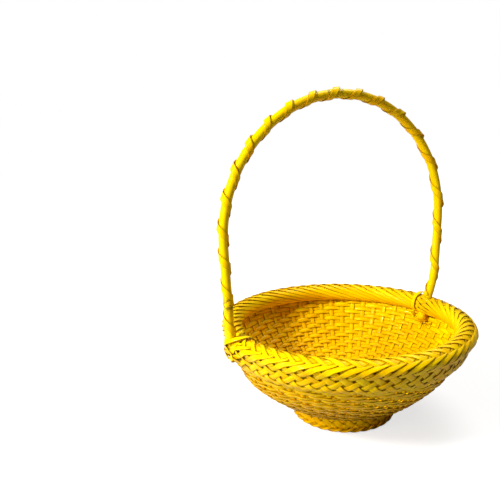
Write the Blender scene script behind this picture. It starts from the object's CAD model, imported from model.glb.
import math

import bpy
import numpy as np
from mathutils import Matrix, Vector


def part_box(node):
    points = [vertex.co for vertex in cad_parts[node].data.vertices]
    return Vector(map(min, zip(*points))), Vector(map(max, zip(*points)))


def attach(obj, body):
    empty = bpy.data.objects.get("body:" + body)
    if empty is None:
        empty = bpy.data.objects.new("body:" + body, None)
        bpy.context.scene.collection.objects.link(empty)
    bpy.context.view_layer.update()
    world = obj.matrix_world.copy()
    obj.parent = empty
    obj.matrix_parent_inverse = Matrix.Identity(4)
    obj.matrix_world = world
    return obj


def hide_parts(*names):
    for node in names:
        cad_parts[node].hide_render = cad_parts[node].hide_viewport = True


# A round woven bamboo basket, painted glossy yellow: woven wall and base, plaited foot, rolled and
# plaited rim, and an arched rod handle that is wound with a flat strip. Sizes here are in
# millimetres until a mesh is made, and angles are in radians unless degrees are named. The
# handle's arch lies in the XZ plane, and its near foot, which the camera is closer to, is at -X.

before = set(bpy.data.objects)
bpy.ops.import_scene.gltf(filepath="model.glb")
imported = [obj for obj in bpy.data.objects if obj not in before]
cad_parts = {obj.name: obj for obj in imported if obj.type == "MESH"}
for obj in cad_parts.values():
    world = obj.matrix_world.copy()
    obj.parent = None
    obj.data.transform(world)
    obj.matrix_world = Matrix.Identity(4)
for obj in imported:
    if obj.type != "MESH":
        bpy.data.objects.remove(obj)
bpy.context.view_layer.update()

MM = 0.001
ROOT = "root"


def lowest(node):
    """The lowest corner of a CAD node's box, in millimetres."""
    return np.array(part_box(node)[0]) / MM


def highest(node):
    """The highest corner of a CAD node's box, in millimetres."""
    return np.array(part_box(node)[1]) / MM


# ---------------------------------------------------------------- sizes

# The strips: how many, how thick and wide, and the clearance between two that cross.
STAKES = 56
STAKE_STEP = 2 * math.pi / STAKES
SPLIT = 0.6
CLEAR = 0.1
CROSSING = SPLIT + CLEAR
STAKE_WIDTH = 4.5
WEFT_TURNS = 23
WEFT_ROW = 3.7
WEFT_WIDTH = 4.6
MAT_STRIPS = STAKES // 4
MAT_PITCH = 4.9
MAT_EDGE = MAT_STRIPS * MAT_PITCH / 2

# The woven sheet: a flat floor, a knuckle that turns it up to the slope LOW, and one arc that
# steepens to HIGH at the rim.
FLOOR = (lowest("base_filler_rows")[2] + highest("base_filler_rows")[2]) / 2
STAKE_TOP = highest("base_strips_lengthwise")
WALL_TOP_RADIUS = STAKE_TOP[0] - SPLIT / 2
WALL_TOP_HEIGHT = STAKE_TOP[2] - CLEAR
LOW = math.radians(28)
HIGH = math.radians(73.5)
KNUCKLE = 12.0
WALL_RISE = WALL_TOP_HEIGHT - FLOOR - KNUCKLE * (1 - math.cos(LOW))
WALL_CURVE = WALL_RISE / (math.cos(LOW) - math.cos(HIGH))
WALL_SPREAD = WALL_CURVE * (math.sin(HIGH) - math.sin(LOW))
FLOOR_EDGE = WALL_TOP_RADIUS - WALL_SPREAD - KNUCKLE * math.sin(LOW)
KNUCKLE_LENGTH = KNUCKLE * LOW
SHEET_LENGTH = KNUCKLE_LENGTH + WALL_CURVE * (HIGH - LOW)
ROW_PITCH = (SHEET_LENGTH - WEFT_ROW / 2) / WEFT_TURNS

# The rolled rim around its core hoop.
CORE_RADIUS = (highest("roll_core_hoop")[2] - lowest("roll_core_hoop")[2]) / 2
ROLL_RING = highest("roll_core_hoop")[1] - CORE_RADIUS
ROLL_HEIGHT = highest("roll_core_hoop")[2] - CORE_RADIUS
ROLL_RADIUS = highest("border_falling_strips")[2] - ROLL_HEIGHT - SPLIT / 2

# The foot's hoop and the cord around its lower edge.
FOOT_RADIUS = highest("foot_hoop")[0]
FOOT_TOP = highest("foot_hoop")[2]
CORD_TOP = highest("foot_edge_cord")[2]
CORD_RING = (highest("foot_edge_cord")[0] + FOOT_RADIUS) / 2

# The handle: an arch, a straight near leg, and a far leg that bends inwards to its foot.
ROD = (highest("handle_rod")[1] - lowest("handle_rod")[1]) / 2
ARCH = 112.5
HANDLE_SHIFT = -lowest("handle_rod")[0] - ROD - ARCH
ARCH_CENTRE = highest("handle_rod")[2] - ROD - ARCH
HANDLE_AT = np.array([-HANDLE_SHIFT, 0.0, 0.0])
NEAR_LEAN = math.radians(2.5)
NEAR_END = 78.5
FAR_LEAN = math.radians(2.5)
FAR_BEND_START = 125.0
FAR_BEND = 97.0
FAR_FOOT_LEAN = math.radians(21)
FAR_END = 70.0
WRAP_WIDTH = 5.8
WRAP_THICKNESS = 0.55

chance = np.random.RandomState(4)


# ---------------------------------------------------------------- lines and surfaces


def smooth(amount):
    """A gentle step from 0 to 1, for a number or an array."""
    held = np.clip(amount, 0.0, 1.0)
    return held * held * (3 - 2 * held)


def unit(vectors):
    """Vectors made one long."""
    return vectors / np.maximum(np.linalg.norm(vectors, axis=-1, keepdims=True), 1e-9)


def around(radius, height, angle):
    """Points at radii and heights, at angles in radians about the basket's axis."""
    radius, height, angle = np.broadcast_arrays(radius, height, angle)
    return np.stack([radius * np.cos(angle), radius * np.sin(angle), height], axis=-1)


def wall_section(distance):
    """Radius, height and slope of the woven sheet's middle, distances from the floor's edge."""
    slope = np.clip(np.asarray(distance, float) / KNUCKLE, 0.0, LOW)
    radius = FLOOR_EDGE + KNUCKLE * np.sin(slope) + np.minimum(distance, 0.0)
    height = FLOOR + KNUCKLE * (1 - np.cos(slope))
    past = np.maximum(np.asarray(distance, float) - KNUCKLE_LENGTH, 0.0)
    slope = slope + past / WALL_CURVE
    radius = radius + WALL_CURVE * (np.sin(np.maximum(slope, LOW)) - math.sin(LOW))
    height = height + WALL_CURVE * (math.cos(LOW) - np.cos(np.maximum(slope, LOW)))
    return radius, height, slope


def wall_place(distance, angle, offset=0.0):
    """Points on the wall moved outwards by offset, and the outward normals there."""
    radius, height, slope = wall_section(distance)
    normal = around(np.sin(slope), -np.cos(slope), angle)
    return around(radius, height, angle) + normal * np.expand_dims(offset, -1), normal


def curve_through(knots, samples):
    """A smooth curve through knots: rows of numbers, each sampled between its neighbours."""
    knots = np.asarray(knots, float)
    padded = np.vstack([2 * knots[0] - knots[1], knots, 2 * knots[-1] - knots[-2]])
    places = np.linspace(0, len(knots) - 1, samples)
    index = np.minimum(places.astype(int), len(knots) - 2)
    t = (places - index)[:, None]
    a, b, c, d = (padded[index + k] for k in range(4))
    return 0.5 * (2 * b + (c - a) * t + (2 * a - 5 * b + 4 * c - d) * t**2
                  + (3 * b - a - 3 * c + d) * t**3)


def wobble(length, every, by):
    """A slow random wander along a line of sampled distances: a new amount after each stretch,
    up to by either way."""
    travelled = length - length[0]
    count = max(4, int(travelled[-1] / every) + 3)
    knots = chance.uniform(-by, by, count)
    return curve_through(knots[:, None], len(length))[:, 0]


def near_angle(angle, middle, spread):
    """1 at an angle about the axis, fading to 0 either side. The last two are in degrees."""
    gap = (angle - math.radians(middle) + math.pi) % (2 * math.pi) - math.pi
    return np.exp(-((gap / math.radians(spread)) ** 2))


def lopsided(height, angle):
    """How far the hand-woven bowl is out of round: drawn in at the rim beside the handle's
    near foot, fuller below that, and drawn in low down on the opposite side."""
    rim_begins = 58
    rim_fades_over = 16
    belly = np.exp(-(((height - 41) / 13) ** 2))
    flank = np.exp(-(((height - 32) / 10) ** 2))
    at_rim = -5.0 * near_angle(angle, 160, 24) * smooth((height - rim_begins) / rim_fades_over)
    fuller = 3.4 * near_angle(angle, 172, 38) * belly
    drawn_in = -2.6 * near_angle(angle, -40, 38) * flank
    return at_rim + fuller + drawn_in


def bent_out_of_round(points):
    """Points of the woven bowl moved to their places in the real, uneven shape."""
    radius = np.hypot(points[:, 0], points[:, 1])
    angle = np.arctan2(points[:, 1], points[:, 0])
    on_wall = smooth((radius - FLOOR_EDGE) / KNUCKLE)
    moved = 1 + on_wall * lopsided(points[:, 2], angle) / np.maximum(radius, 1.0)
    return points * np.stack([moved, moved, np.ones_like(moved)], axis=1)


def lengths_along(points):
    """The distance travelled along a line of points, at each of them."""
    steps = np.linalg.norm(np.diff(points, axis=0), axis=1)
    return np.concatenate([[0.0], np.cumsum(steps)])


# ---------------------------------------------------------------- meshes of strips

# Half a strip's section: across as a share of half its width, and up as a share of half its
# thickness. The face is crowned and the edges are rounded.
STRIP_SECTION = np.array([
    (-1.0, 0.0), (-0.95, 0.75), (-0.6, 1.2), (0.0, 1.4), (0.6, 1.2), (0.95, 0.75),
    (1.0, 0.0), (0.94, -0.75), (0.0, -0.9), (-0.94, -0.75),
])


def round_section(sides):
    """A round section with its points in the same order as a strip's."""
    turn = np.pi - 2 * np.pi * np.arange(sides) / sides
    return np.stack([np.cos(turn), np.sin(turn)], axis=1)


class StripMesh:
    """Strips gathered into one mesh, with what their material needs at each point."""

    def __init__(self):
        self.points = []
        self.faces = []
        self.grain = []
        self.tint = []
        self.edge = []
        self.count = 0

    def add(self, centres, normals, widths, thickness, section=STRIP_SECTION, closed=False,
            tilt=0.0, tint=None):
        """One strip along centres, its face turned to the normals and tilted about its own
        length, in radians."""
        centres = np.asarray(centres, float)
        rings, corners = len(centres), len(section)
        along = np.gradient(centres, axis=0)
        if closed:
            along = np.roll(centres, -1, axis=0) - np.roll(centres, 1, axis=0)
        along = unit(along)
        side = unit(np.cross(along, normals))
        face = np.cross(side, along)
        turn = np.broadcast_to(tilt, (rings,))[:, None]
        side, face = (side * np.cos(turn) + face * np.sin(turn),
                      face * np.cos(turn) - side * np.sin(turn))
        half = np.broadcast_to(widths, (rings,))[:, None] / 2
        thick = np.broadcast_to(thickness, (rings,))[:, None] / 2
        across = half * section[:, 0]
        up = thick * section[:, 1]
        points = centres[:, None] + side[:, None] * across[..., None]
        points = points + face[:, None] * up[..., None]
        self.points.append(points.reshape(-1, 3))
        self.add_faces(rings, corners, closed)
        travelled = np.broadcast_to(lengths_along(centres)[:, None], across.shape)
        number = np.full(across.shape, chance.uniform(0, 500))
        self.grain.append(np.stack([travelled, across, number], axis=-1).reshape(-1, 3))
        shade = chance.uniform(0, 1) if tint is None else tint
        self.tint.append(np.full(rings * corners, shade))
        self.edge.append(np.tile(np.abs(section[:, 0]), rings))
        self.count += rings * corners

    def add_faces(self, rings, corners, closed):
        """The faces between neighbouring rings of points, and the two ends."""
        ring = np.arange(rings if closed else rings - 1)[:, None] * corners
        corner = np.arange(corners)[None, :]
        following = (corner + 1) % corners
        beyond = (ring + corners) % (rings * corners)
        quads = np.stack([ring + corner, ring + following, beyond + following, beyond + corner], -1)
        self.faces += (quads.reshape(-1, 4) + self.count).tolist()
        if not closed:
            first = list(range(self.count, self.count + corners))
            last = [index + (rings - 1) * corners for index in first]
            self.faces += [first[::-1], last]

    def make(self, name, material, slot, *nodes, woven=True):
        """The finished object, riding on the basket and standing for CAD nodes."""
        points = np.vstack(self.points)
        if woven:
            points = bent_out_of_round(points)
        mesh = bpy.data.meshes.new(name)
        mesh.from_pydata((points * MM).tolist(), [], self.faces)
        mesh.polygons.foreach_set("use_smooth", np.ones(len(mesh.polygons), bool))
        for label, kind, values in (
            ("grain", "FLOAT_VECTOR", np.vstack(self.grain)),
            ("tint", "FLOAT", np.concatenate(self.tint)),
            ("edge", "FLOAT", np.concatenate(self.edge)),
        ):
            attribute = mesh.attributes.new(label, kind, "POINT")
            field = "vector" if kind == "FLOAT_VECTOR" else "value"
            attribute.data.foreach_set(field, values.ravel())
        mesh.update()
        piece = bpy.data.objects.new(name, mesh)
        bpy.context.scene.collection.objects.link(piece)
        mesh.materials.append(material)
        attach(piece, ROOT)
        if nodes:
            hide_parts(*nodes)
        return piece


# ---------------------------------------------------------------- materials


class Shader:
    """A material's node tree, with short ways to add and join its nodes."""

    def __init__(self, name):
        self.material = bpy.data.materials.new(name)
        self.material.use_nodes = True
        self.tree = self.material.node_tree
        self.surface = self.tree.nodes["Principled BSDF"]

    def node(self, kind, values=(), **settings):
        """A node with its settings, and numbers or links put into its named inputs."""
        made = self.tree.nodes.new(kind)
        for key, value in settings.items():
            setattr(made, key, value)
        for key, value in dict(values).items():
            self.put(made.inputs[key], value)
        return made

    def put(self, socket, value):
        """A number, colour or another node's output into an input."""
        if isinstance(value, bpy.types.NodeSocket):
            self.tree.links.new(value, socket)
        else:
            socket.default_value = value

    def attribute(self, name, output):
        """A mesh attribute's values."""
        return self.node("ShaderNodeAttribute", attribute_name=name).outputs[output]

    def math(self, operation, *values, clamp=False):
        """A sum on numbers or outputs."""
        made = self.node("ShaderNodeMath", operation=operation, use_clamp=clamp)
        for socket, value in zip(made.inputs, values):
            self.put(socket, value)
        return made.outputs[0]

    def stretch(self, vector, scale):
        """A vector multiplied by three numbers."""
        made = self.node("ShaderNodeVectorMath", operation="MULTIPLY")
        self.put(made.inputs[0], vector)
        made.inputs[1].default_value = scale
        return made.outputs[0]

    def noise(self, vector, scale, detail=3.0, roughness=0.55):
        """Noise from 0 to 1 at a vector's places."""
        values = {"Vector": vector, "Scale": scale, "Detail": detail, "Roughness": roughness}
        return self.node("ShaderNodeTexNoise", values).outputs["Fac"]

    def ramp(self, amount, low, high, to_low=0.0, to_high=1.0):
        """An amount moved from one range to another, smoothly and without overrun."""
        values = {"Value": amount, "From Min": low, "From Max": high, "To Min": to_low,
                  "To Max": to_high}
        made = self.node("ShaderNodeMapRange", values, interpolation_type="SMOOTHSTEP")
        return made.outputs["Result"]

    def blend(self, amount, first, second):
        """Two colours, or their outputs, mixed."""
        made = self.node("ShaderNodeMix", data_type="RGBA")
        self.put(made.inputs[0], amount)
        self.put(made.inputs[6], first)
        self.put(made.inputs[7], second)
        return made.outputs[2]


LEMON = (0.86, 0.62, 0.0, 1)
AMBER = (0.82, 0.42, 0.0, 1)
OCHRE = (0.42, 0.21, 0.0, 1)
BROWN = (0.08, 0.035, 0.0, 1)
GLEAM = (1.0, 0.8, 0.05, 1)
SCAR = (0.045, 0.04, 0.012, 1)


def painted_bamboo(name, fibre=1.0, gloss=0.3, wear=0.35):
    """Yellow lacquer over split bamboo: fine fibres along the strip, a little more or less
    paint from strip to strip and in patches, more of it low on the basket, dark specks where
    it missed, and worn edges."""
    shader = Shader(name)
    grain = shader.attribute("grain", "Vector")
    fibres = shader.noise(shader.stretch(grain, (0.05, 2.4, 1.0)), 1.0, 4.0, 0.65)
    streaks = shader.noise(shader.stretch(grain, (0.02, 0.7, 1.0)), 1.0, 2.0)
    blotches = shader.noise(shader.stretch(grain, (0.12, 0.3, 1.0)), 1.0, 3.0, 0.6)
    place = shader.node("ShaderNodeTexCoord").outputs["Object"]
    patches = shader.noise(place, 45.0, 2.0)
    height = shader.node("ShaderNodeSeparateXYZ", {"Vector": place}).outputs["Z"]
    pooled = shader.math("ADD", shader.ramp(patches, 0.42, 0.68, 0.0, 0.6),
                         shader.ramp(height, 0.015, 0.085, 0.9, 0.0))
    tint = shader.math("MULTIPLY_ADD", shader.attribute("tint", "Fac"), 0.75, pooled)
    return finish_paint(shader, fibres, streaks, blotches, tint,
                        shader.attribute("edge", "Fac"), fibre, gloss, wear)


def painted_hoop(name):
    """The same paint on the CAD hoops, whose fibres run around the basket's axis."""
    shader = Shader(name)
    place = shader.node("ShaderNodeTexCoord").outputs["Object"]
    fibres = shader.noise(shader.stretch(place, (60, 60, 2200)), 1.0, 4.0, 0.65)
    streaks = shader.noise(shader.stretch(place, (20, 20, 600)), 1.0, 2.0)
    blotches = shader.noise(place, 90.0, 3.0, 0.6)
    return finish_paint(shader, fibres, streaks, blotches, tint=0.15, edge=0.0, fibre=0.8,
                        gloss=0.4, wear=0.0)


def finish_paint(shader, fibres, streaks, blotches, tint, edge, fibre, gloss, wear):
    """Colour, roughness and bump of the yellow paint from its patterns."""
    amount = shader.math("MULTIPLY_ADD", tint, 0.55, shader.ramp(streaks, 0.35, 0.68, 0.0, 0.5))
    colour = shader.blend(shader.math("MINIMUM", amount, 1.0), LEMON, AMBER)
    thin = shader.ramp(fibres, 0.56, 0.8, 0.0, 0.3)
    colour = shader.blend(thin, colour, OCHRE)
    rubbed = shader.math("MULTIPLY", shader.ramp(edge, 0.72, 1.0),
                         shader.ramp(blotches, 0.25, 0.6, 0.55, 1.0))
    colour = shader.blend(shader.math("MULTIPLY", rubbed, wear), colour, BROWN)
    specks = shader.ramp(blotches, 0.72, 0.78, 0.0, 0.45)
    colour = shader.blend(specks, colour, BROWN)
    shader.put(shader.surface.inputs["Base Color"], colour)
    rough = shader.ramp(fibres, 0.3, 0.75, gloss - 0.06, gloss + 0.16)
    shader.put(shader.surface.inputs["Roughness"], rough)
    shader.put(shader.surface.inputs["Specular IOR Level"], 0.17)
    shader.put(shader.surface.inputs["Specular Tint"], GLEAM)
    shader.put(shader.surface.inputs["Coat Weight"], 0.035)
    shader.put(shader.surface.inputs["Coat Roughness"], 0.05)
    height = shader.math("MULTIPLY_ADD", blotches, 0.6, fibres)
    bump = shader.node("ShaderNodeBump", {"Height": height, "Strength": 0.7 * fibre,
                                          "Distance": 0.2 * MM})
    shader.put(shader.surface.inputs["Normal"], bump.outputs["Normal"])
    return shader.material


def painted_rod(name):
    """The rod's paint, with dark mottled scars where the attribute edge says so."""
    shader = Shader(name)
    grain = shader.attribute("grain", "Vector")
    fibres = shader.noise(shader.stretch(grain, (0.04, 1.2, 1.0)), 1.0, 4.0, 0.65)
    streaks = shader.noise(shader.stretch(grain, (0.015, 0.5, 1.0)), 1.0, 2.0)
    blotches = shader.noise(shader.stretch(grain, (0.3, 0.6, 1.0)), 1.0, 4.0, 0.7)
    finish_paint(shader, fibres, streaks, blotches, tint=0.3, edge=0.0, fibre=0.4,
                 gloss=0.26, wear=0.0)
    painted = shader.surface.inputs["Base Color"].links[0].from_socket
    scarred = shader.math("MULTIPLY", shader.attribute("edge", "Fac"),
                          shader.ramp(blotches, 0.42, 0.6))
    shader.put(shader.surface.inputs["Base Color"], shader.blend(scarred, painted, SCAR))
    return shader.material


# ---------------------------------------------------------------- base and wall


def strip_side(one, other):
    """Whether a crosswise strip of the mat passes over a lengthwise one: 1, or under: -1."""
    return -1 if (one + other) % 3 == 0 else 1


def mat_offset(strip):
    """A base strip's distance from the middle of the mat."""
    return (strip - (MAT_STRIPS - 1) / 2) * MAT_PITCH


def fan_angle(strip):
    """The angle at which a base strip leaves the floor as a stake."""
    return (strip - (MAT_STRIPS - 1) / 2) * STAKE_STEP


def half_strip(strip, crosswise, end):
    """Knots and normals from the middle of the mat to the rim, towards +X or, end -1, -X."""
    knots = []
    for place in range(MAT_STRIPS // 2, MAT_STRIPS):
        crossed = place if end > 0 else MAT_STRIPS - 1 - place
        over = strip_side(strip, crossed) if crosswise else -strip_side(crossed, strip)
        lift = over * CROSSING / 2 + CLEAR / 2
        knots.append((mat_offset(place), mat_offset(strip), FLOOR + lift))
    mat = curve_through(knots, 5 * len(knots))
    wall_samples = 3 * WEFT_TURNS
    distance = np.linspace(0, SHEET_LENGTH, wall_samples)
    angle = fan_angle(strip)
    quarter = math.pi / 2 if crosswise else 0.0
    seen = quarter + (angle if end > 0 else math.pi - angle)
    place = STAKES * distance / ROW_PITCH
    row = -seen / STAKE_STEP - 0.5
    nearest = row + STAKES * np.round((place - row) / STAKES)
    inside = np.cos(2 * np.pi * nearest / 3)
    sway = 0.22
    offset = sway * (inside - 0.25) * smooth(distance / KNUCKLE_LENGTH)
    angles = angle + wobble(distance, every=25.0, by=0.25) / (FLOOR_EDGE + distance)
    wall, wall_normals = wall_place(distance, angles, offset)
    bridge = curve_through([mat[-2], mat[-1], wall[0], wall[1]], 13)[5:8]
    centres = np.vstack([mat, bridge, wall])
    up = np.tile([0.0, 0.0, 1.0], (len(mat) + len(bridge), 1))
    normals = np.vstack([up, -wall_normals])
    return centres * (end, 1, 1), normals * (end, 1, 1)


def add_base_strip(mesh, strip, crosswise):
    """One long strip: rim to base, across the mat, and up to the rim on the other side."""
    far, far_normals = half_strip(strip, crosswise, 1)
    near, near_normals = half_strip(strip, crosswise, -1)
    centres = np.vstack([near[::-1], far])
    normals = np.vstack([near_normals[::-1], far_normals])
    if crosswise:
        quarter = np.array([[0, 1, 0], [-1, 0, 0], [0, 0, 1]], float)
        centres = centres @ quarter
        normals = normals @ quarter
    travelled = lengths_along(centres)
    on_mat = 1 - smooth((np.hypot(centres[:, 0], centres[:, 1]) - MAT_EDGE) / 8)
    wider_on_mat = 0.45
    widths = STAKE_WIDTH + wobble(travelled, every=30.0, by=0.25) + wider_on_mat * on_mat
    tilt = wobble(travelled, every=18.0, by=0.05)
    mesh.add(centres, normals, widths, SPLIT, tilt=tilt)


def add_base_strips(name, crosswise, node, material):
    """All the base strips of one direction."""
    mesh = StripMesh()
    for strip in range(MAT_STRIPS):
        add_base_strip(mesh, strip, crosswise)
    mesh.make(name, material, "painted_weave", node)


# How far each row of weft leans over the row below it, in radians.
ROW_TILT = 0.13


def weave_side(place):
    """Which side of the stakes the weft is on: -1 inside one stake in three, 1 outside."""
    before = np.floor(place)
    here = np.where(before % 3 == 0, -1.0, 1.0)
    there = np.where((before + 1) % 3 == 0, -1.0, 1.0)
    held = 0.2
    return here + (there - here) * smooth((place - before - held) / (1 - 2 * held))


def add_weft(material):
    """The weft, from the floor's edge to the rim, in lengths whose ends hide behind stakes. It
    is packed closest low on the wall."""
    mesh = StripMesh()
    slack = 0.12
    slack_between = 0.26
    stakes_passed = 46
    samples_per_stake = 6
    lengths = STAKES * WEFT_TURNS // stakes_passed
    for index in range(lengths):
        count = stakes_passed * samples_per_stake
        place = index * stakes_passed + (np.arange(count + 3) - 1.0) / samples_per_stake
        place = np.clip(place, 0.0, STAKES * WEFT_TURNS)
        distance = place / STAKES * ROW_PITCH
        distance = distance + wobble(distance * STAKES, every=30.0, by=0.16)
        radius = wall_section(distance)[0]
        side = weave_side(place)
        pulled_in = 1 - slack_between * (1 - np.cos(2 * np.pi * place))
        bowed_in = 0.2 * (radius / ROLL_RING) * (side < 0)
        lift = side * (CROSSING + slack) * pulled_in - bowed_in
        angle = -(place + 0.5) * STAKE_STEP
        centres, normals = wall_place(distance, angle, lift)
        low_down = 1 - smooth(distance / (0.6 * SHEET_LENGTH))
        widths = WEFT_WIDTH + 0.6 * low_down + wobble(distance * STAKES, every=40.0, by=0.22)
        tilt = ROW_TILT + wobble(distance * STAKES, every=25.0, by=0.08)
        facing = np.where(side < 0, -1.0, 1.0)
        mesh.add(centres, normals, widths, SPLIT * (1 + 0.1 * facing), tilt=tilt)
    mesh.make("weft_rows", material, "painted_weave", "wall_weft")


def add_filler_rows(material):
    """Short rows of weft on the floor, between the square mat and the round wall."""
    mesh = StripMesh()
    rows = 3
    row_step = WEFT_ROW + 4 * CLEAR
    overlap = 0.3
    for side in range(4):
        for row in range(rows):
            radius = FLOOR_EDGE - (row + 1) * row_step
            reach = math.acos((MAT_EDGE + WEFT_ROW / 2) / radius)
            count = int(2 * reach / STAKE_STEP)
            angle = np.linspace(-reach, reach, 8 * count)
            level = np.cos(2 * np.pi * ((angle + reach) / STAKE_STEP + row + side) / 3)
            height = FLOOR + CROSSING * np.sign(level) * smooth(np.abs(level) * 2)
            centres = around(radius, height, angle + side * math.pi / 2)
            normals = np.tile([0.0, 0.0, 1.0], (len(angle), 1))
            mesh.add(centres, normals, row_step + overlap, SPLIT, tilt=0.1)
    mesh.make("floor_filler_rows", material, "painted_weave", "base_filler_rows")


# ---------------------------------------------------------------- the rim

# Where the border strips start and leave the roll, and where its outer ridge is, all as turns
# up from the roll's outer side. Then the band, the strips' slants and their widths.
ROLL_START = math.radians(250)
ROLL_END = math.radians(12)
RIDGE_TURN = math.radians(22)
BAND_TOP = 2.0
BAND_DEPTH = 13.0
BAND_LIFT = 4.3
ROLL_SLANT = math.radians(17.8)
BAND_SLANT = math.radians(43)
RISING_SLANT = math.radians(34)
FALLING_WIDTH = 5.7
RISING_WIDTH = 5.0
TIP_LENGTH = 20.0
ROLL_STRIP_WIDTH = 3.5
BORDER_STEP = 0.5
PAST_BAND = 4.0


def rim_profile():
    """The rim's section as the border strips follow it: up the inside of the roll, over it,
    and down the band. Columns: distance, radius, height, and the normal's two parts."""
    turns = np.linspace(ROLL_START, ROLL_END, 80)
    roll = np.stack([ROLL_RING + ROLL_RADIUS * np.cos(turns),
                     ROLL_HEIGHT + ROLL_RADIUS * np.sin(turns)], axis=1)
    down = np.linspace(BAND_TOP, BAND_DEPTH + PAST_BAND, 30)
    radius, height, slope = wall_section(SHEET_LENGTH - down)
    lift = BAND_LIFT - 1.2 * smooth((down - BAND_DEPTH + 5) / 9)
    band = np.stack([radius + lift * np.sin(slope), height - lift * np.cos(slope)], axis=1)
    start, finish = roll[-1], band[0]
    chord = np.linalg.norm(finish - start)
    leaving = np.array([math.sin(ROLL_END), -math.cos(ROLL_END)]) * chord
    arriving = unit(band[1] - band[0]) * chord
    t = np.linspace(0, 1, 14)[1:-1, None]
    bridge = ((2 * t**3 - 3 * t**2 + 1) * start + (t**3 - 2 * t**2 + t) * leaving
              + (3 * t**2 - 2 * t**3) * finish + (t**3 - t**2) * arriving)
    line = np.vstack([roll, bridge, band])
    travel = unit(np.gradient(line, axis=0))
    normals = np.stack([-travel[:, 1], travel[:, 0]], axis=1)
    return np.column_stack([lengths_along(line), line, normals])


RIM = rim_profile()
ROLL_LENGTH = ROLL_RADIUS * (ROLL_START - ROLL_END)
RIDGE_AT = ROLL_RADIUS * (ROLL_START - RIDGE_TURN)
BAND_BOTTOM_AT = RIM[-1, 0] - PAST_BAND


def turn_at(distance):
    """How far up the roll from its outer side, in radians, a distance along the profile is."""
    return ROLL_START - np.minimum(distance, ROLL_LENGTH) / ROLL_RADIUS


def rim_place(distance, angle, lift):
    """Points on the rim's section at distances along it, and their outward normals."""
    radius, height, across, up = (np.interp(distance, RIM[:, 0], RIM[:, k]) for k in range(1, 5))
    lift = lift + foot_bulge(turn_at(distance), angle)
    centres = around(radius + across * lift, height + up * lift, angle)
    return centres, unit(around(across, up, angle))


def foot_bulge(turn, angle):
    """How far the roll swells inwards around the handle's foot at +X."""
    swell = 3.0
    return swell * near_angle(angle, 0, 6) * np.maximum(0.0, -np.cos(turn))


def border_path():
    """One border strip on the rim's section. It climbs the roll in a long slant, steepens on the
    way down, turns at the band's lower edge, climbs back to the ridge and ends there in a tip
    that lies along it. Columns: distance, angle, heading and stage, which is 0 falling,
    1 turning, 2 rising and 3 for the tip."""
    step = BORDER_STEP
    turn_radius = 4.0
    straightens_over = 14.0
    tip_heading = math.radians(-12)
    distance, angle, heading, stage, tip = 0.0, 0.0, ROLL_SLANT, 0, 0.0
    rows = []
    steepens_from = ROLL_RADIUS * (ROLL_START - math.radians(160))
    steepens_to = ROLL_RADIUS * (ROLL_START - math.radians(60))
    turn_at_distance = BAND_BOTTOM_AT - turn_radius * (1 - math.cos(BAND_SLANT))
    while tip < TIP_LENGTH:
        rows.append((distance, angle, heading, stage))
        if stage == 0:
            share = float(smooth((distance - steepens_from) / (steepens_to - steepens_from)))
            heading = ROLL_SLANT + (BAND_SLANT - ROLL_SLANT) * share
            stage = 1 if distance > turn_at_distance else 0
        elif stage == 1:
            heading -= step / turn_radius
            stage = 2 if heading < -RISING_SLANT else 1
        elif stage == 2:
            heading = -RISING_SLANT
            stage = 3 if distance < RIDGE_AT + 2.0 else 2
        else:
            tip += step
            heading = min(heading + step / straightens_over, tip_heading)
        distance += math.sin(heading) * step
        radius = np.interp(distance, RIM[:, 0], RIM[:, 1])
        angle += math.cos(heading) * step / radius
    return np.array(rows)


BORDER = border_path()


def border_shape():
    """Lift, width and tilt of a border strip along its path. Falling and rising parts pass over
    and under each other, one after another, as they cross."""
    distance, angle, _, stage = BORDER.T
    falling = stage == 0
    rising = stage >= 2
    fall_angle = np.interp(distance, distance[falling], angle[falling])
    rise_order = np.argsort(distance[rising])
    rise_angle = np.interp(distance, distance[rising][rise_order], angle[rising][rise_order])
    crossings = (rise_angle - fall_angle) / STAKE_STEP
    weave_depth = 0.45
    weave = np.cos(np.pi * crossings) * weave_depth
    on_band = smooth((distance - RIDGE_AT - 1.0) / 5)
    lift = np.where(rising, weave, -weave)
    turning = stage == 1
    share = np.linspace(0, 1, max(int(turning.sum()), 1))
    before, after = lift[np.flatnonzero(turning)[0] - 1], lift[np.flatnonzero(turning)[-1] + 1]
    lift[turning] = before + (after - before) * smooth(share)
    lift = np.where(stage == 3, 0.0, lift * on_band)
    travelled = lengths_along(np.column_stack([distance, angle * ROLL_RING]))
    past_ridge = travelled - travelled[stage == 3][0]
    tip_share = np.clip(past_ridge / TIP_LENGTH, 0.0, 1.0)
    lift = lift + (0.75 + 0.2 * tip_share) * smooth((past_ridge + 5) / 6) * rising
    widens = smooth((distance - ROLL_RADIUS * (ROLL_START - math.radians(70))) / 8)
    width = ROLL_STRIP_WIDTH + (FALLING_WIDTH - ROLL_STRIP_WIDTH) * widens
    width = np.where(stage >= 1, RISING_WIDTH, width)
    width = width * np.clip(1 - tip_share**1.5, 0.02, 1) ** 0.8
    lean_on_roll, lean_at_tip = -0.13, 0.3
    tilt = np.where(falling & (distance < RIDGE_AT), lean_on_roll, 0.0)
    tilt = tilt + lean_at_tip * smooth(tip_share * 5)
    return lift, width, tilt


def near_leg_line():
    """The near leg's end and the direction of its line, upwards."""
    leave = np.array([-ARCH * math.cos(NEAR_LEAN), 0, ARCH_CENTRE - ARCH * math.sin(NEAR_LEAN)])
    leave = leave + HANDLE_AT
    drop = leave[2] - NEAR_END
    end = leave + np.array([drop * math.tan(NEAR_LEAN), 0, -drop])
    return end, unit(leave - end)


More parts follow.
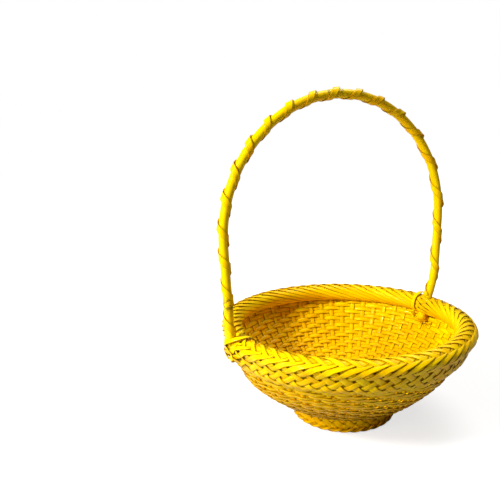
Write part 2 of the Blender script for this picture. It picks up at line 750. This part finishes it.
def far_leg_places():
    """Where the far leg leaves the arch, starts and ends its bend, and ends."""
    leave = np.array([ARCH * math.cos(FAR_LEAN), 0, ARCH_CENTRE - ARCH * math.sin(FAR_LEAN)])
    leave = leave + HANDLE_AT
    drop = leave[2] - FAR_BEND_START
    start = leave - np.array([drop * math.tan(FAR_LEAN), 0, drop])
    across = FAR_BEND * (math.cos(FAR_LEAN) - math.cos(FAR_FOOT_LEAN))
    down = FAR_BEND * (math.sin(FAR_FOOT_LEAN) - math.sin(FAR_LEAN))
    bent = start - np.array([across, 0, down])
    rest = bent[2] - FAR_END
    return leave, start, bent, bent - np.array([rest * math.tan(FAR_FOOT_LEAN), 0, rest])


def part_around_feet(centres):
    """Strip centres moved aside where the rod's two feet go into the rim. The near foot stands
    in a notch on the rim's outer side: the strips pass inside it, and the band below covers
    its end."""
    _, _, bent, far_end = far_leg_places()
    near_end, near_up = near_leg_line()
    on_outside = smooth((np.hypot(centres[:, 0], centres[:, 1]) - ROLL_RING) / 3)
    notch = 5.0
    outside = np.array([-notch, 0.0, 0.0])
    near_room, far_room = ROD + 1.0 + notch, ROD + 1.3
    for end, upwards, clear in (
        (near_end + outside, near_up, near_room),
        (far_end, unit(bent - far_end), far_room),
    ):
        reach = centres - end
        height = reach @ upwards
        aside = reach - height[:, None] * upwards
        gap = np.linalg.norm(aside, axis=1, keepdims=True)
        push = np.maximum(0.0, np.sqrt(gap**2 + clear**2 * np.exp(-((gap / clear) ** 2))) - gap)
        above_end = smooth((height + 3) / 3)[:, None]
        centres = centres + unit(aside) * push * above_end
    return over_near_end(centres, on_outside, near_end)


def over_near_end(centres, on_outside, near_end):
    """Strip centres low on the band moved outwards over the near foot's hidden end."""
    radius = np.hypot(centres[:, 0], centres[:, 1])
    angle = np.arctan2(centres[:, 1], centres[:, 0])
    height = centres[:, 2] - near_end[2]
    on_band = smooth((height + 14) / 12) * (1 - smooth((height - 6.5) / 4))
    beside = near_angle(angle, 180, 7.5)
    push = np.maximum(0.0, near_end_cover(near_end) - radius) * on_band * beside
    moved = 1 + push * on_outside / np.maximum(radius, 1.0)
    return centres * np.stack([moved, moved, np.ones_like(moved)], axis=1)


def near_end_cover(near_end):
    """The radius, before the bowl is bent out of round, that clears the near foot's end."""
    out = lopsided(near_end[2] + 4, math.pi)
    return -near_end[0] + ROD + 2 * SPLIT - float(out)


def add_border(material):
    """The border strips, one for each stake. Every other sample of the path is enough for the
    mesh."""
    mesh = StripMesh()
    lift, width, tilt = border_shape()
    kept = slice(None, None, 2)
    for stake in range(STAKES):
        travelled = np.linspace(0, len(BORDER) * BORDER_STEP, len(BORDER))
        distance = BORDER[:, 0] + wobble(travelled, every=14.0, by=0.18)
        shift = wobble(travelled, every=20.0, by=0.55) / ROLL_RING
        angle = BORDER[:, 1] + stake * STAKE_STEP + shift
        raised = lift + wobble(travelled, every=12.0, by=0.1)
        centres, normals = rim_place(distance, angle, raised)
        widths = width * (1 + wobble(travelled, every=25.0, by=0.12))
        twist = tilt + wobble(travelled, every=12.0, by=0.09)
        mesh.add(part_around_feet(centres)[kept], normals[kept], widths[kept], SPLIT,
                 tilt=twist[kept])
    mesh.make("border_strips", material, "painted_border",
              "border_falling_strips", "border_rising_strips")


def add_band_hoop(material):
    """The flat hoop under the plaited band."""
    mesh = StripMesh()
    width = (highest("band_hoop")[2] - lowest("band_hoop")[2]) / math.sin(HIGH)
    top_gap = 1.5
    angle = np.linspace(0, 2 * np.pi, 400, endpoint=False)
    middle = np.full(len(angle), SHEET_LENGTH - top_gap - width / 2)
    thickness = 1.8
    centres, normals = wall_place(middle, angle, CROSSING + SPLIT + thickness / 2)
    mesh.add(centres, normals, width, thickness, closed=True, tint=0.4)
    mesh.make("band_backing", material, "painted_hoop", "band_hoop")


def add_roll_filling(material):
    """The strip ends tucked inside the roll, seen through the gaps in its top."""
    mesh = StripMesh()
    slant = math.radians(35)
    depth = 1.25
    width = 6.2
    for stake in range(STAKES):
        turns = np.radians(np.linspace(150, 0, 34))
        distance = ROLL_RADIUS * (ROLL_START - turns)
        angle = stake * STAKE_STEP - (distance - distance[0]) / math.tan(slant) / ROLL_RING
        lift = wobble(distance, every=6.0, by=0.15) - depth
        centres, normals = rim_place(distance, angle, lift)
        mesh.add(part_around_feet(centres), normals, width, SPLIT, tilt=0.1)
    mesh.make("roll_filling", material, "painted_border")


# ---------------------------------------------------------------- the foot


def add_foot_plait(material):
    """The plait around the foot: strips that fall, turn at the lower edge and rise, passing
    over and under each other."""
    mesh = StripMesh()
    count = 28
    pitch = 2 * math.pi / count
    width = 5.6
    top = FOOT_TOP - 0.8
    bottom = CORD_TOP * 0.55 + width / 2
    lean = 1.15 * pitch
    turn_width = 0.35 * pitch
    turn_samples = 6
    samples = 16
    share = np.linspace(0, 1, samples)
    for index in range(count):
        start = index * pitch
        fall = np.column_stack([top - (top - bottom) * share, start + lean * share])
        turned = np.column_stack([
            bottom - 0.8 * np.sin(np.linspace(0.3, np.pi - 0.3, turn_samples)),
            start + lean + turn_width * np.linspace(0.15, 0.85, turn_samples),
        ])
        rise = np.column_stack([bottom + (top - bottom) * share,
                                start + lean + turn_width + lean * share])
        path = np.vstack([fall, turned, rise])
        weave = 0.38 * np.cos(np.pi * (2 * lean * (1 - share) + turn_width) / pitch)
        across_turn = np.linspace(-weave[-1], weave[-1], turn_samples)
        lift = np.concatenate([-weave, across_turn, weave[::-1]])
        radius = FOOT_RADIUS + CLEAR + SPLIT + 0.4 + lift
        radius = radius + 0.5 * smooth((bottom + 4 - path[:, 0]) / 5)
        centres = around(radius, path[:, 0], path[:, 1])
        widths = width + wobble(np.arange(len(path)) * 1.0, every=12.0, by=0.3)
        mesh.add(centres, around(1.0, 0.0, path[:, 1]), widths, SPLIT)
    mesh.make("foot_weave", material, "painted_border", "foot_plait")


def add_foot_cord(material):
    """The lumpy two-strand cord along the foot's lower edge."""
    mesh = StripMesh()
    turns = 15
    samples = 24 * turns
    angle = 2 * np.pi * np.arange(samples) / samples
    half = CORD_TOP / 2
    strand, inset = 1.16, 1.15
    reach = half - inset
    for phase in (0.0, math.pi):
        coil = turns * angle + phase
        thick = strand + 0.12 * np.sin(2 * coil)
        centres = around(CORD_RING + reach * np.cos(coil), half + reach * np.sin(coil), angle)
        normals = around(np.cos(coil), np.sin(coil), angle)
        mesh.add(centres, normals, 2 * thick, 2 * thick, section=round_section(12), closed=True)
    mesh.make("foot_cord", material, "painted_border", "foot_edge_cord")


# ---------------------------------------------------------------- the handle


def rod_line():
    """Close points along the rod's centre line, from the near leg's end to the far leg's."""
    near_end, _ = near_leg_line()
    leave, start, bent, end = far_leg_places()
    sweep = np.linspace(math.pi + NEAR_LEAN, -FAR_LEAN, 600)
    arch = np.stack([ARCH * np.cos(sweep), 0 * sweep, ARCH_CENTRE + ARCH * np.sin(sweep)], -1)
    arch = arch + HANDLE_AT
    bend = np.linspace(-FAR_LEAN, -FAR_FOOT_LEAN, 60)
    spokes = FAR_BEND * np.stack([np.cos(bend), 0 * bend, np.sin(bend)], axis=-1)
    curved = start + spokes - spokes[0]
    points = np.vstack([
        np.linspace(near_end, arch[0], 200)[:-1], arch,
        np.linspace(leave, start, 80)[1:-1], curved, np.linspace(bent, end, 60)[1:],
    ])
    return points, lengths_along(points)


def rod_place(line, distance):
    """Points and directions on the rod's centre line at distances along it."""
    points, travelled = line
    step = 0.5
    behind, places, ahead = (
        np.stack([np.interp(distance + shift, travelled, points[:, k]) for k in range(3)], -1)
        for shift in (-step, 0.0, step)
    )
    return places, unit(ahead - behind)


def rod_nodes(total):
    """Where the rod's swollen nodes are, along its length."""
    return total * np.array([0.075, 0.3, 0.47, 0.71, 0.92])


def add_rod(line, material):
    """The bent rod, with its swollen nodes and the dark scars at two of them."""
    mesh = StripMesh()
    total = line[1][-1]
    distance = np.linspace(0, total, 520)
    centres, along = rod_place(line, distance)
    free = smooth(distance / 30) * smooth((total - distance) / 30)
    centres[:, 1] += wobble(distance, every=60.0, by=0.35) * free
    thick = 2 * ROD * (0.985 + wobble(distance, every=45.0, by=0.012))
    scars = np.zeros(len(distance))
    for node in rod_nodes(total):
        thick += 0.5 * np.exp(-(((distance - node) / 1.6) ** 2))
        thick -= 0.3 * np.exp(-(((distance - node - 3.2) / 1.4) ** 2))
    for node in rod_nodes(total)[[0, 2]]:
        scars += np.exp(-(((distance - node) / 6) ** 2))
    end = np.minimum(distance, total - distance)
    thick *= 1 - 0.25 * np.exp(-((end / 0.8) ** 2))
    normals = np.cross(along, [0.0, 1.0, 0.0])
    section = round_section(28)
    mesh.add(centres, normals, thick, thick, section=section, tint=0.3)
    mesh.edge = [np.repeat(np.clip(scars, 0, 1), len(section))]
    mesh.make("rod", material, "painted_rod", "handle_rod", woven=False)


def wrap_pitch_at(distance):
    """The wrapping strip's pitch at a distance along the rod: long near both feet."""
    closest_from, opens_from, opens_over = 110.0, 280.0, 150.0
    on_arch, more_near, more_far = 23.0, 7.0, 13.0
    near = 1 - smooth(distance / closest_from)
    far = smooth((distance - opens_from) / opens_over)
    return on_arch + more_near * near + more_far * far


def add_wrap(line, material):
    """The flat strip wound around the rod. On the arch's inner side it bridges the curve and
    stands a little off the rod."""
    mesh = StripMesh()
    near_clearance, far_clearance = 12.0, 24.0
    distances, coils = [near_clearance], [0.0]
    samples_per_turn = 30
    finish = line[1][-1] - far_clearance
    while distances[-1] < finish:
        distances.append(distances[-1] + float(wrap_pitch_at(distances[-1])) / samples_per_turn)
        coils.append(coils[-1] - 2 * math.pi / samples_per_turn)
    distance = np.array(distances) + wobble(np.array(distances), every=30.0, by=1.2)
    coil = np.array(coils)[:, None]
    centres, along = rod_place(line, distance)
    across = np.tile([0.0, 1.0, 0.0], (len(distance), 1))
    outward = -np.cross(along, across)
    normals = outward * np.cos(coil) + across * np.sin(coil)
    on_arch = smooth((centres[:, 2] - ARCH_CENTRE + 20) / 50)
    inner = np.clip(-np.cos(coil[:, 0]), 0, 1) ** 3
    stands_off = 0.9
    reach = ROD + (WRAP_THICKNESS + CLEAR) / 2 + stands_off * inner * on_arch
    centres = centres + normals * reach[:, None]
    widths = WRAP_WIDTH + wobble(distance, every=20.0, by=0.5)
    mesh.add(centres, normals, widths, WRAP_THICKNESS, tilt=wobble(distance, every=9.0, by=0.06))
    mesh.make("handle_strip", material, "painted_wrap", "handle_wrap", woven=False)


# ---------------------------------------------------------------- the lashings


def on_roll(degrees_up, lift, angle):
    """A lashing place on the roll: degrees up it, how far clear, degrees about the axis."""
    turn = math.radians(degrees_up)
    reach = ROLL_RADIUS + 1.5 * SPLIT + lift + float(foot_bulge(turn, math.radians(angle)))
    height = ROLL_HEIGHT + reach * math.sin(turn)
    radius = ROLL_RING + reach * math.cos(turn) + float(lopsided(height, math.radians(angle)))
    return radius, height, angle


def on_band(down, lift, angle):
    """A lashing place on the band, a distance down the wall from its top edge."""
    radius, height, slope = wall_section(SHEET_LENGTH - down)
    out = BAND_LIFT + SPLIT + lift
    height = float(height - out * np.cos(slope))
    radius = float(radius + out * np.sin(slope) + lopsided(height, math.radians(angle)))
    return radius, height, angle


def add_lashing(name, places, node, material):
    """A flat strip through places given as radius, height and degrees about the axis."""
    knots = [around(radius, height, math.radians(angle)) for radius, height, angle in places]
    samples, width = 90, 4.4
    centres = curve_through(knots, samples)
    angle = np.arctan2(centres[:, 1], centres[:, 0])
    away = centres - around(ROLL_RING, ROLL_HEIGHT, angle)
    along = unit(np.gradient(centres, axis=0))
    normals = unit(away - along * np.sum(away * along, axis=1, keepdims=True))
    widths = width + wobble(np.arange(samples) * 1.0, every=20.0, by=0.3)
    mesh = StripMesh()
    mesh.add(centres, normals, widths, SPLIT, tint=0.0)
    mesh.make(name, material, "painted_wrap", node, woven=False)


def add_lashings(material):
    """The strips that hold the handle's two feet to the rim."""
    near_end, _ = near_leg_line()
    beside, past = 186.0, 176.5
    rod_outer = -near_end[0] + ROD + SPLIT
    add_lashing("lashing_near", [
        on_roll(225, 0.4, beside), on_roll(180, 0.4, beside), on_roll(120, 0.6, beside),
        on_roll(75, 1.1, beside - 0.6), (rod_outer + 1.0, NEAR_END + 9, 180),
        on_roll(-8, 1.2, past), on_band(BAND_DEPTH / 2, 0.7, past),
        on_band(BAND_DEPTH + 3, -1.0, past),
    ], "near_lashing", material)
    beside = 6.3
    end = far_leg_places()[3]
    tip, tip_height = end[0] - ROD - SPLIT, end[2] + 3
    add_lashing("lashing_far", [
        on_roll(25, 1.6, beside), on_roll(65, 1.6, beside), on_roll(105, 1.6, beside),
        on_roll(145, 1.8, beside), on_roll(185, 2.0, beside), on_roll(215, 1.6, beside - 0.8),
        (tip - 1.0, tip_height + 0.5, 3.0), (tip - 1.8, tip_height - 2.0, 0.4),
        (tip + 0.4, tip_height - 2.6, -2.6), (tip + 5.0, tip_height - 2.0, -4.6),
    ], "far_lashing", material)


# ---------------------------------------------------------------- light, floor and camera


def add_floor():
    """A wide pale floor under the basket."""
    half = 4.0
    mesh = bpy.data.meshes.new("studio_floor")
    corners = [(-half, -half, 0), (half, -half, 0), (half, half, 0), (-half, half, 0)]
    mesh.from_pydata(corners, [], [(0, 1, 2, 3)])
    floor = bpy.data.objects.new("studio_floor", mesh)
    bpy.context.scene.collection.objects.link(floor)
    shader = Shader("pale_floor")
    mottle = shader.noise(shader.node("ShaderNodeTexCoord").outputs["Object"], 3.0)
    colour = shader.blend(mottle, (0.38, 0.38, 0.38, 1), (0.42, 0.42, 0.42, 1))
    shader.put(shader.surface.inputs["Base Color"], colour)
    shader.put(shader.surface.inputs["Roughness"], 0.8)
    shader.put(shader.surface.inputs["Specular IOR Level"], 0.1)
    rays = shader.node("ShaderNodeLightPath").outputs["Is Camera Ray"]
    place = shader.node("ShaderNodeTexCoord").outputs["Object"]
    away = shader.node("ShaderNodeVectorMath", {0: place}, operation="LENGTH").outputs["Value"]
    glow = shader.math("MULTIPLY", rays, shader.ramp(away, 0.1, 0.9, 0.72, 1.0))
    shader.put(shader.surface.inputs["Emission Color"], (1.0, 1.0, 1.0, 1))
    shader.put(shader.surface.inputs["Emission Strength"], glow)
    mesh.materials.append(shader.material)


def add_world():
    """An even white surround, brighter to the camera than it is as light."""
    world = bpy.data.worlds.new("studio")
    bpy.context.scene.world = world
    world.use_nodes = True
    tree = world.node_tree
    background = tree.nodes["Background"]
    background.inputs["Color"].default_value = (1.0, 1.0, 1.0, 1)
    rays = tree.nodes.new("ShaderNodeLightPath")
    strength = tree.nodes.new("ShaderNodeMapRange")
    strength.inputs["To Min"].default_value = 0.1
    strength.inputs["To Max"].default_value = 1.0
    tree.links.new(rays.outputs["Is Camera Ray"], strength.inputs["Value"])
    tree.links.new(strength.outputs["Result"], background.inputs["Strength"])


def add_light(name, place, aim, side, power):
    """A square soft light at a place in metres, aimed at another."""
    light = bpy.data.lights.new(name, "AREA")
    light.size = side
    light.energy = power
    lamp = bpy.data.objects.new(name, light)
    lamp.location = place
    lamp.rotation_euler = (Vector(aim) - Vector(place)).to_track_quat("-Z", "Y").to_euler()
    bpy.context.scene.collection.objects.link(lamp)


def add_camera():
    """The camera: on the -Y side, nearer the handle's foot at -X, and above the rim. It is
    turned left of the basket's axis, and its focal length is picture_widths."""
    picture_widths = 1.123
    turn = math.radians(36.0)
    heading = turn + math.radians(-9.6)
    dip = math.radians(11.6)
    roll = math.radians(-1.7)
    away, height = 489.8, 251.8
    place = Vector((-away * math.sin(turn), -away * math.cos(turn), height)) * MM
    forward = Vector((math.sin(heading) * math.cos(dip), math.cos(heading) * math.cos(dip),
                      -math.sin(dip)))
    right = Vector((math.cos(heading), -math.sin(heading), 0))
    up = right.cross(forward)
    rolled_right = right * math.cos(roll) + up * math.sin(roll)
    rolled_up = up * math.cos(roll) - right * math.sin(roll)
    camera = bpy.data.cameras.new("camera")
    camera.sensor_width = 36.0
    camera.lens = camera.sensor_width * picture_widths
    camera.clip_start = 0.01
    holder = bpy.data.objects.new("camera", camera)
    bpy.context.scene.collection.objects.link(holder)
    axes = Matrix((rolled_right, rolled_up, -forward)).transposed()
    holder.matrix_world = Matrix.Translation(place) @ axes.to_4x4()
    bpy.context.scene.camera = holder


# ---------------------------------------------------------------- the basket

weave = painted_bamboo("paint_on_weave", wear=0.75)
border = painted_bamboo("paint_on_border", wear=0.75)
wound = painted_bamboo("paint_on_wound_strip", fibre=0.3, gloss=0.24, wear=0.6)
rod_paint = painted_rod("paint_on_rod")

add_base_strips("stakes_lengthwise", False, "base_strips_lengthwise", weave)
add_base_strips("stakes_crosswise", True, "base_strips_crosswise", weave)
add_filler_rows(weave)
add_weft(weave)
add_border(border)
add_roll_filling(border)
add_band_hoop(border)
add_foot_plait(border)
add_foot_cord(border)
rod = rod_line()
add_rod(rod, rod_paint)
add_wrap(rod, wound)
add_lashings(wound)
hoop_paint = painted_hoop("paint_on_hoops")
for hoop in ("roll_core_hoop", "foot_hoop"):
    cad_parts[hoop].data.materials.clear()
    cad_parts[hoop].data.materials.append(hoop_paint)

add_floor()
add_world()
middle = (0.0, 0.0, 0.09)
add_light("key", (-1.15, -0.05, 0.95), middle, 0.35, 31.0)
add_light("overhead", (0.55, 0.15, 1.3), middle, 0.7, 12.0)
add_light("fill", (-1.15, 0.1, 0.2), middle, 0.5, 9.0)
add_camera()
bpy.context.scene.view_settings.view_transform = "Standard"
